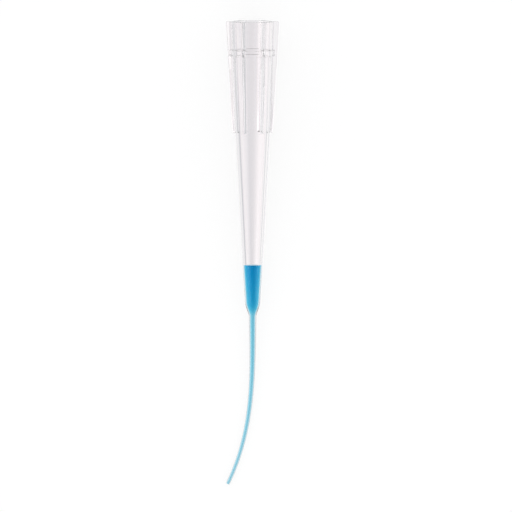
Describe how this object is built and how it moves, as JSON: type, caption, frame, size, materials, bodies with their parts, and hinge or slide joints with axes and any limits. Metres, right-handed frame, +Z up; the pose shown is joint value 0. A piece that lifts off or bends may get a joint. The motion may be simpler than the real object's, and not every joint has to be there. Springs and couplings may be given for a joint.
{
  "type": "pipette tip",
  "caption": "Long gel-loading pipette tip with a finned collar, a tapered clear barrel and a fine bent capillary, holding a blue dyed liquid.",
  "frame": {"origin": "on the floor, under the middle of the outline of the tip as it lies", "axes": "+Y along the tip, towards the mouth; +Z up from the floor; the capillary bends towards -X"},
  "size_m": [0.007, 0.0618, 0.0062],
  "materials": {
    "polypropylene": "clear natural polypropylene, glossy, with a faint haze",
    "dyed_liquid": "clear blue dyed water"
  },
  "bodies": {
    "root": {"tip_body": "polypropylene", "blue_liquid": "dyed_liquid"}
  },
  "joints": []
}
